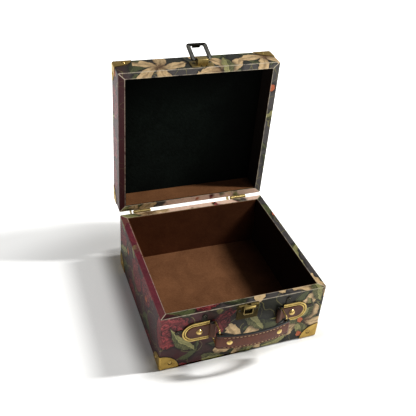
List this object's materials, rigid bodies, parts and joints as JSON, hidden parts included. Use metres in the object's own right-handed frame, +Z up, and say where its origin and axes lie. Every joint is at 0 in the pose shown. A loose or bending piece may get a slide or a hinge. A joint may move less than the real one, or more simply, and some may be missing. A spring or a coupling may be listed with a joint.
{
  "type": "hinged keepsake box",
  "caption": "Square suitcase-style box with a hinged lid, strap handle on swinging rings, hook latch and brass corners.",
  "frame": {"origin": "centre of the underside of the base, on the plane the box stands on", "axes": "+Z up, -Y out of the front with the handle and latch, +X to the right seen from the front"},
  "size_m": [0.203, 0.2606, 0.2948],
  "materials": {
    "mdf": "sanded fibreboard",
    "printed_covering": "matte grained leatherette with a dark botanical print",
    "bottom_felt": "felt",
    "brown_suede": "brushed suede",
    "black_suede": "brushed suede",
    "brass": "aged satin brass",
    "dark_bronze": "dark bronze, satin",
    "brown_leather": "semi-gloss leather"
  },
  "bodies": {
    "base": {"base_front_board": "mdf", "base_back_board": "mdf", "base_left_board": "mdf", "base_right_board": "mdf", "base_bottom_board": "mdf", "base_side_wrap": "printed_covering", "base_bottom_pad": "bottom_felt", "base_wall_lining": "brown_suede", "base_floor_lining": "brown_suede", "base_corner_front_left": "brass", "base_corner_front_right": "brass", "base_corner_back_left": "brass", "base_corner_back_right": "brass", "base_corner_nails": "brass", "hinge_left_base_leaf": "brass", "hinge_right_base_leaf": "brass", "hinge_left_pin": "brass", "hinge_right_pin": "brass", "mount_left_rim": "brass", "mount_right_rim": "brass", "mount_rivets": "brass", "catch_plate": "brass", "catch_screws": "dark_bronze", "mount_screws": "dark_bronze", "hinge_base_screws": "dark_bronze", "mount_left_back": "dark_bronze", "mount_right_back": "dark_bronze", "mount_left_tab": "brown_leather", "mount_right_tab": "brown_leather"},
    "lid": {"lid_front_board": "mdf", "lid_back_board": "mdf", "lid_left_board": "mdf", "lid_right_board": "mdf", "lid_top_board": "mdf", "lid_side_wrap": "printed_covering", "lid_top_sheet": "printed_covering", "lid_wall_lining": "brown_suede", "lid_top_lining": "black_suede", "lid_corner_front_left": "brass", "lid_corner_front_right": "brass", "lid_corner_back_left": "brass", "lid_corner_back_right": "brass", "lid_corner_nails": "brass", "hinge_left_lid_leaf": "brass", "hinge_right_lid_leaf": "brass", "hinge_lid_screws": "dark_bronze", "latch_plate": "brass", "latch_screws": "dark_bronze"},
    "latch_link": {"latch_link": "dark_bronze"},
    "ring_left": {"ring_left": "brass"},
    "ring_right": {"ring_right": "brass"},
    "handle": {"handle_strap": "brown_leather", "handle_rivets": "brass"}
  },
  "joints": [
    {"name": "lid_hinge", "type": "hinge", "parent": "base", "child": "lid", "pos_m": [0, 0.1003, 0.0812], "axis": [1, 0, 0], "range_deg": [0, 88]},
    {"name": "link_pivot", "type": "hinge", "parent": "lid", "child": "latch_link", "pos_m": [0.0024, 0.105, 0.28459], "axis": [1, 0, 0], "range_deg": [0, 161]},
    {"name": "ring_left_swing", "type": "hinge", "parent": "base", "child": "ring_left", "pos_m": [-0.0386, -0.1004, 0.053], "axis": [0, 0, 1], "range_deg": [-65, 65]},
    {"name": "ring_right_swing", "type": "hinge", "parent": "base", "child": "ring_right", "pos_m": [0.0414, -0.1004, 0.053], "axis": [0, 0, 1], "range_deg": [-65, 65]},
    {"name": "strap_swing", "type": "hinge", "parent": "ring_left", "child": "handle", "pos_m": [-0.0386, -0.1172, 0.053], "axis": [0, 0, 1], "range_deg": [-65, 65]}
  ],
  "couplings": [
    {"joint": "ring_right_swing", "follows": "ring_left_swing", "ratio": 1},
    {"joint": "strap_swing", "follows": "ring_left_swing", "ratio": -1}
  ]
}
